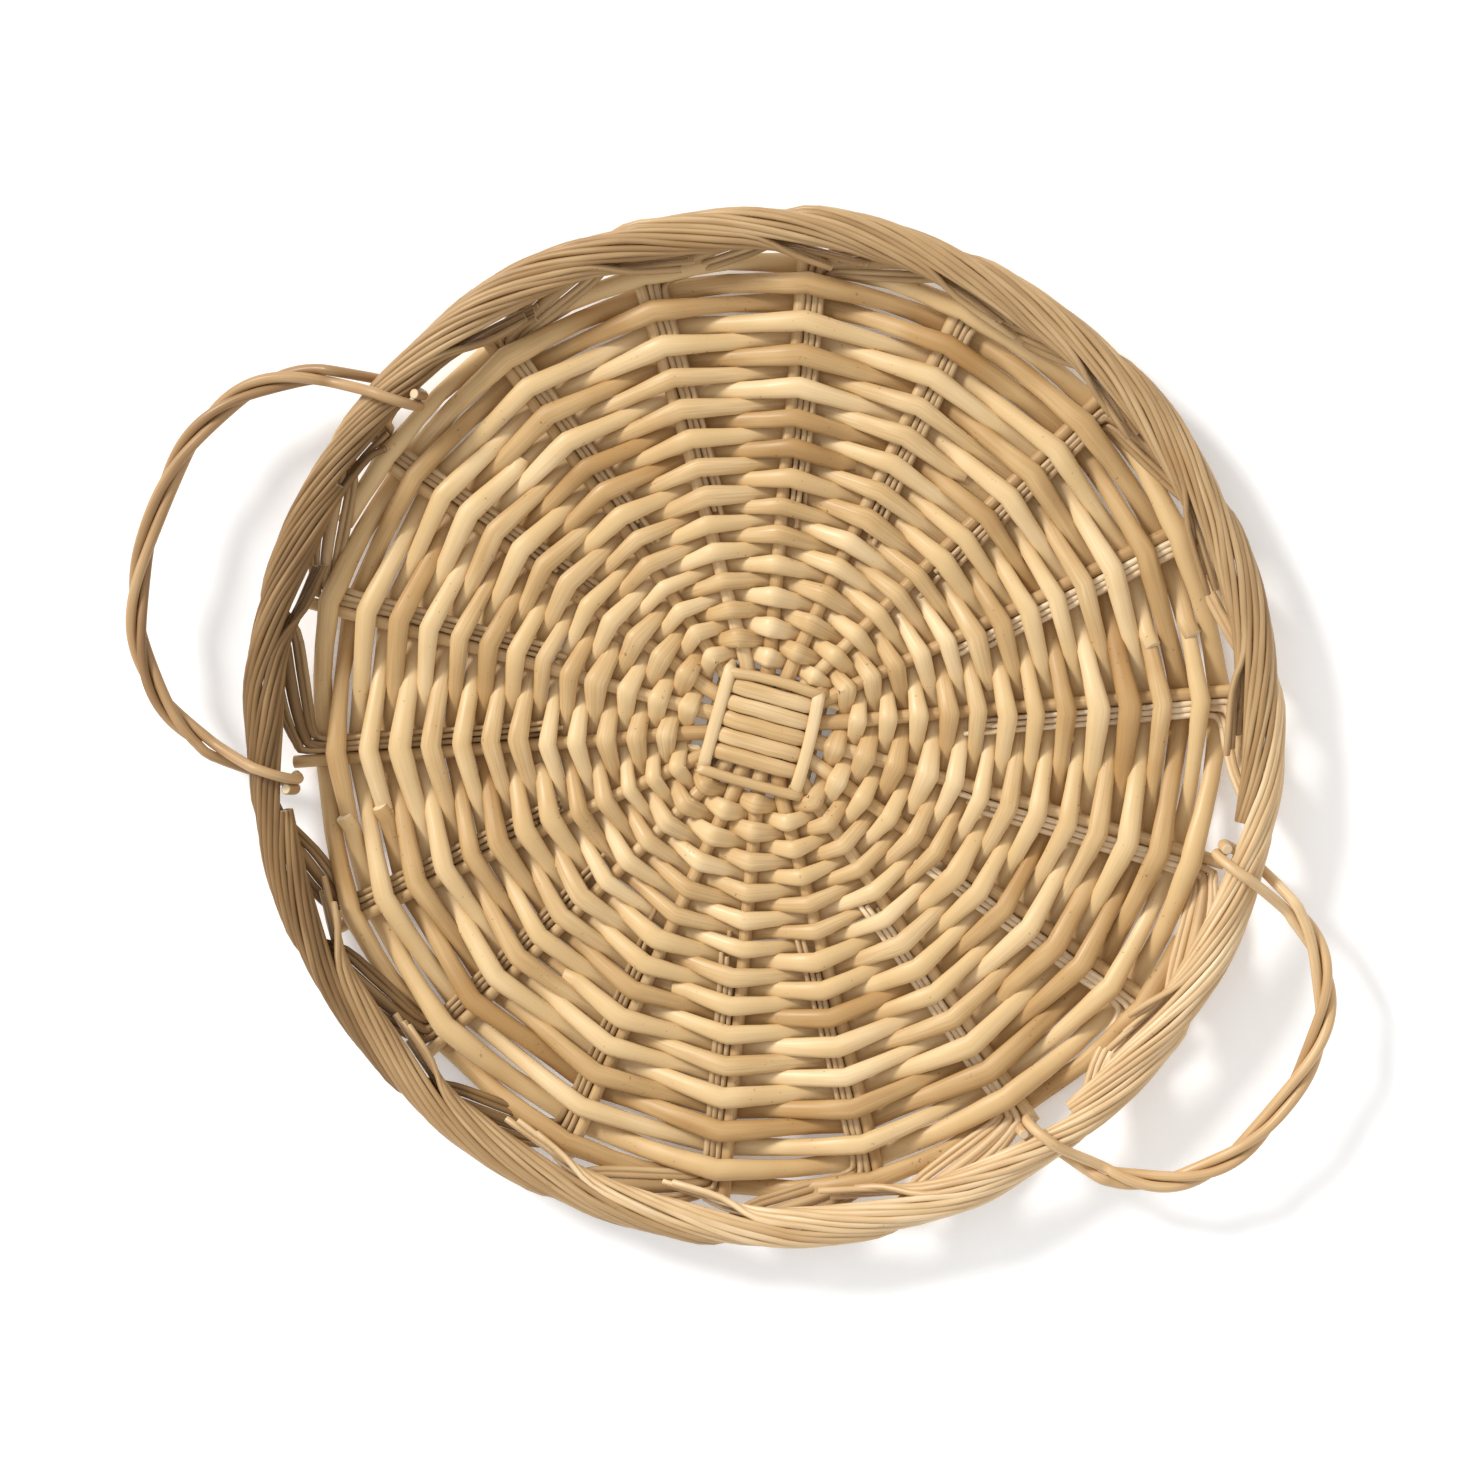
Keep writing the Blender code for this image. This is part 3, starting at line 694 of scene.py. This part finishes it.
# Lit and shaded copies of one border willow: painted shade for the left, a lighter painted shade
# for the top and lower left, and painted light, the pale one, for the right and bottom
stake_finishes = {
    "in painted shade": willow("border stakes, brown", (0.50, 0.325, 0.15, 1), (0.25, 0.14, 0.052, 1),
                    (0.13, 0.068, 0.022, 1), TAN, roughness=0.53, stained=0.3, specks=0.4),
    "in half painted shade": willow("border stakes, buff", (0.60, 0.42, 0.22, 1), (0.44, 0.28, 0.13, 1),
                   (0.28, 0.155, 0.06, 1), RUST, roughness=0.45, stained=0.4, specks=0.4),
    "pale": willow("border stakes, in painted light", (0.86, 0.70, 0.47, 1), (0.68, 0.48, 0.26, 1),
                   (0.44, 0.26, 0.11, 1), RUST, roughness=0.45, stained=0.3, specks=0.35),
}


def rope_point(angle, phase, offset):
    """A place in the border: phase 0 is its outside, 90 degrees its top, 180 its inside."""
    calm = between(0, 1, foot_distance(angle) / CALM_TURN - 0.4)
    offset -= HOOK_SQUEEZE * (1 - calm)
    swell = SWELL * calm * noise.noise(Vector((math.cos(angle) * 3, math.sin(angle) * 3, 9)))
    radius = BORDER_RADIUS + swell + offset * math.cos(phase)
    height = BORDER_HEIGHT + swell / 2 + offset * ROPE_FLATNESS * math.sin(phase)
    return polar(radius, angle, height)


def lay_stake(rods, spoke, j, shade):
    """Stake j of a bundle, from its tip in the weave to its cut end inside the border.

    The last one is thick, and the others are wound round it.
    """
    is_core = j == STAKES
    column, layer = (0, 0) if is_core else (1 - j // 2, (0.5, -0.5)[j % 2])
    half = STAKE / 2 * rods.chance.uniform(0.9, 1.1)
    aside, above = column * STAKE * STAKE_SPACING, layer * STAKE
    order = 0 if is_core else j - (STAKES - 1) / 2
    start = BYE_START + rods.chance.uniform(-8, 16) * MM
    points = []
    for radius in (start, start + 12 * MM, *STAKE_RADII, LEG_END + order * LEG_SPREAD):
        angle = spoke_angle(spoke, radius)
        sway = rods.chance.uniform(-0.25, 0.25) * MM
        across = polar(BYE_BESIDE + aside + sway, angle - math.pi / 2, 0)
        points.append(polar(radius, angle, stick_height(radius) + above) + across)

    stick_angle = FIRST_SPOKE + spoke * SPOKE_STEP
    room = min((stick_angle - foot) % TURN for pair in HANDLE_FEET.values() for foot in pair)
    rise, first_step = next(ways[1:] for ways in RISES if room < math.radians(ways[0]))
    past = (BYE_BESIDE + aside) / RISE_RADIUS
    rise_angle = spoke_angle(spoke, RISE_RADIUS) - past
    for turn, radius, spread, height, steepness in rise:
        points.append(polar(radius + order * spread, rise_angle - turn, height + order * steepness))

    wild = rods.chance.uniform(-0.3, 0.3) * MM
    offset = CORE_RADIUS if is_core else RIBBON_RADIUS - RIBBON_CROWN * order**2 + wild
    for step in range(first_step, TUCK_STEPS + 1):
        phase = ENTRY_PHASE + TURN / (4 * LAY_SPOKES) * (step - 1) + order * RIBBON_STEP
        phase += rods.chance.uniform(-0.07, 0.07)
        points.append(rope_point(stick_angle - step * QUARTER_STEP, phase, offset))

    # The tip runs on inward over the weave's edge, across the next stakes that come up
    tail = TUCK_STEPS + rods.chance.uniform(1.2, 2.6)
    tail_angle = stick_angle - tail * QUARTER_STEP
    middle_angle = stick_angle - (TUCK_STEPS + 0.9) * QUARTER_STEP
    clear = min(foot_distance(tail_angle), foot_distance(middle_angle)) > TAIL_ROOM
    if clear and not is_core:
        inward = (1.2 - 0.75 * order) * MM + rods.chance.uniform(-0.6, 0.6) * MM
        height = BORDER_HEIGHT - (3.5 + order) * MM
        points.append(polar(RISE_RADIUS - inward, middle_angle, height))
        inward += rods.chance.uniform(1.5, 3.0) * MM
        height = BORDER_HEIGHT - (5.5 + 0.6 * order) * MM
        points.append(polar(RISE_RADIUS - inward, tail_angle, height))
    path = curved(points, 3)
    thickest = CORE_THICKNESS if is_core else RIBBON_THICKNESS
    halves = []
    for k in range(len(path)):
        thickness = half * between(STAKE_TIP, thickest, k / TAPER_RINGS)
        halves.append((thickness * between(1.03, 0.9, k / len(path)),) * 2)
    shade += rods.chance.uniform(-0.25, 0.25)
    darkened = [(point.xy.length - DARKER_FROM) / DARKER_LENGTH for point in path]
    shades = [between(shade - PALER, shade, share) for share in darkened]
    rods.lay(path, halves, sides=8, shade=shades)


# The bundles have three finishes by where they lie. On the left they are darker: painted shade
# where the border's inside faces away from the window, with somewhat darker rods there too. At the
# top and lower left they get a lighter painted shade. On the right and bottom they are paler:
# painted light where the border faces the window.
PAINTED_SHADE_BUNDLES = range(9, 13)
HALF_PAINTED_SHADE_BUNDLES = (*range(2, 9), 13, 14)

for spoke in range(SPOKES):
    rods = Rods(STAKE_SEED + spoke)
    shade = rods.chance.uniform(0.3, 0.7)
    for j in range(STAKES + 1):
        lay_stake(rods, spoke, j, shade)
    name = f"border_bundle_{spoke + 1:02d}"
    painted_shading = "in painted shade" if spoke in PAINTED_SHADE_BUNDLES else "in half painted shade" if spoke in HALF_PAINTED_SHADE_BUNDLES else "pale"
    finish = stake_finishes[painted_shading]
    rods.finish(f"{name}_stakes", "tray", "border_stakes", finish, name)

# ------------------------------------------------------------------------------------------------
# The handles. Each is three long rods, twisted together into a loop. At each foot two of them
# part and hook round the border, one from above and one from below, and so the loop swings on it.
# ------------------------------------------------------------------------------------------------

HANDLE_SEED = 400
HANDLE_ROD = 3.8 * MM
HANDLE_RODS = 3
HANDLE_TWISTS = 2
HANDLE_SQUARENESS = 2.4
NECK = 20 * MM
FOOT_PITCH = 3.9 * MM
FOOT_CLEARANCE = 0.4 * MM
STEPS_PER_TWIST = 14
HOOK_STEPS = 6
STAND_OFF = 1.8 * MM  # half of the CAD's handle rod, from the border to the middle of a hook
THIRD_ROD = 0.92  # its thickness over that of the other two
HOOK_END = math.radians(215)
TWIST_OFFSET = 2.3 * MM
HANDLES = (
    ("left_handle", 66 * MM,
     ((0.60, 0.41, 0.21, 1), (0.44, 0.265, 0.12, 1), (0.25, 0.135, 0.055, 1))),
    ("right_handle", 58 * MM,
     ((0.76, 0.56, 0.32, 1), (0.60, 0.39, 0.19, 1), (0.38, 0.215, 0.09, 1))),
)


def loop_line(half_chord, reach, count):
    """The loop's middle line as (along the hinge, outward), from neck to neck."""
    power = 2 / HANDLE_SQUARENESS
    start = math.asin((NECK / reach) ** (1 / power))
    line = []
    for i in range(count):
        turn = start + (math.pi - 2 * start) * i / (count - 1)
        along = -half_chord * math.copysign(abs(math.cos(turn)) ** power, math.cos(turn))
        line.append((along, reach * math.sin(turn) ** power))
    return line


def twisted(k, half_chord, reach):
    """One rod of the twist from neck to neck, as (along, outward, up)."""
    steps = STEPS_PER_TWIST * HANDLE_TWISTS
    line = loop_line(half_chord, reach, steps + 1)
    points = []
    for i, (along, out) in enumerate(line):
        a, b = line[max(i - 1, 0)], line[min(i + 1, steps)]
        length = math.hypot(b[0] - a[0], b[1] - a[1])
        inward = ((b[1] - a[1]) / length, -(b[0] - a[0]) / length)
        phase = TURN * (HANDLE_TWISTS * i / steps + k / HANDLE_RODS) + math.pi / 6
        side = TWIST_OFFSET * math.cos(phase)
        points.append((along + inward[0] * side, out + inward[1] * side,
                       TWIST_OFFSET * math.sin(phase)))
    return points


def hook(along, radius, up):
    """A hook round the border, from where the rod meets it. up is 1 over it and -1 under it."""
    start = math.acos(radius / NECK)
    turns = [start + (HOOK_END - start) * i / HOOK_STEPS for i in range(HOOK_STEPS + 1)]
    return [(along, radius * math.cos(t), up * radius * math.sin(t)) for t in turns]


for name, reach, (pale, straw, tan) in HANDLES:
    finish = willow(name.replace("_", " ") + " rods", pale, straw, tan, tan,
                    roughness=0.42, stained=0.5, specks=0.35)
    first_foot, second_foot = HANDLE_FEET[name]
    half_span = (second_foot - first_foot) / 2
    middle = (first_foot + second_foot) / 2
    half_chord = BORDER_RADIUS * math.sin(half_span)
    along = polar(1, middle + math.pi / 2, 0)
    outward = polar(1, middle, 0)
    hinge = outward * BORDER_RADIUS * math.cos(half_span) + UP * BORDER_HEIGHT
    reach_along = (FOOT_PITCH + HANDLE_ROD - 0.2 * MM) / 2
    radius = ROPE_RADIUS / math.cos(half_span) + reach_along * math.tan(half_span)
    radius += FOOT_CLEARANCE + STAND_OFF
    for k in range(HANDLE_RODS):
        points = twisted(k, half_chord, reach)
        if k < 2:
            up = 1 if k == 0 else -1
            inset = FOOT_PITCH / 2 * up
            points = (hook(-half_chord + inset, radius, up)[::-1] + points
                      + hook(half_chord - inset, radius, up))
        else:
            points = points[1:-1]
        path = curved([hinge + along * a + outward * o + UP * z for a, o, z in points], 3)
        rods = Rods(HANDLE_SEED + 10 * k + len(name))
        halves = []
        for i in range(len(path)):
            uneven = 1 + 0.06 * noise.noise(Vector((i * 0.09, k * 3.7, len(name))))
            halves.append((HANDLE_ROD / 2 * uneven * (1.0 if k < 2 else THIRD_ROD),) * 2)
        rods.lay(path, halves, sides=12)
        rod_name = f"{name}_rod_{k + 1}"
        rods.finish(f"{rod_name}_willow", name, f"{name}_rods", finish, rod_name)

# ------------------------------------------------------------------------------------------------
# The table, the light and the camera. The tray lies on a plain white table, lit by one large soft
# window from the upper left and by a bright white room.
# ------------------------------------------------------------------------------------------------

TABLE_SIZE = 6
TABLE_WHITE = (0.93, 0.93, 0.93, 1)
TABLE_GLOW = 0.15  # the white sheet is brighter than the tray's own light makes it
ROOM_LIGHT = 0.82
WINDOW_DIRECTION = Vector((-0.62, 0.55, 0.62))
WINDOW_STRENGTH = 2.5
WINDOW_SOFTNESS = math.radians(14)
WINDOW_COLOUR = (1.0, 0.98, 0.95)
CAMERA_PLACE = Vector((0.195, 0.145, 1.8))
CAMERA_TARGET = Vector(((cad_box[0][0] + cad_box[1][0]) / 2, 0, 0.012))
CAMERA_LENS = 128

table_mesh = bmesh.new()
bmesh.ops.create_grid(table_mesh, size=TABLE_SIZE / 2)
table_data = bpy.data.meshes.new("table")
table_mesh.to_mesh(table_data)
table_mesh.free()
table = bpy.data.objects.new("table", table_data)
bpy.context.scene.collection.objects.link(table)
table_finish = Finish("white table")
table_finish.shader.inputs["Base Color"].default_value = TABLE_WHITE
table_finish.shader.inputs["Roughness"].default_value = 0.9
table_finish.shader.inputs["Emission Color"].default_value = (1, 1, 1, 1)
table_finish.shader.inputs["Emission Strength"].default_value = TABLE_GLOW
table_finish.shader.inputs["Specular IOR Level"].default_value = 0.1
table_data.materials.append(table_finish.material)

room = bpy.data.worlds.new("room")
room.use_nodes = True
room.node_tree.nodes["Background"].inputs["Color"].default_value = (1, 1, 1, 1)
room.node_tree.nodes["Background"].inputs["Strength"].default_value = ROOM_LIGHT
bpy.context.scene.world = room

window_data = bpy.data.lights.new("window", "SUN")
window_data.energy = WINDOW_STRENGTH
window_data.angle = WINDOW_SOFTNESS
window_data.color = WINDOW_COLOUR
window = bpy.data.objects.new("window", window_data)
window.rotation_euler = WINDOW_DIRECTION.to_track_quat("Z", "Y").to_euler()
bpy.context.scene.collection.objects.link(window)

camera_data = bpy.data.cameras.new("camera")
camera_data.lens = CAMERA_LENS
camera = bpy.data.objects.new("camera", camera_data)
backward = (CAMERA_PLACE - CAMERA_TARGET).normalized()
rightward = Vector((0, 1, 0)).cross(backward).normalized()
camera.matrix_world = Matrix.Translation(CAMERA_PLACE) @ Matrix(
    (rightward, backward.cross(rightward), backward)
).transposed().to_4x4()
bpy.context.scene.collection.objects.link(camera)
bpy.context.scene.camera = camera
bpy.context.scene.view_settings.view_transform = "Standard"
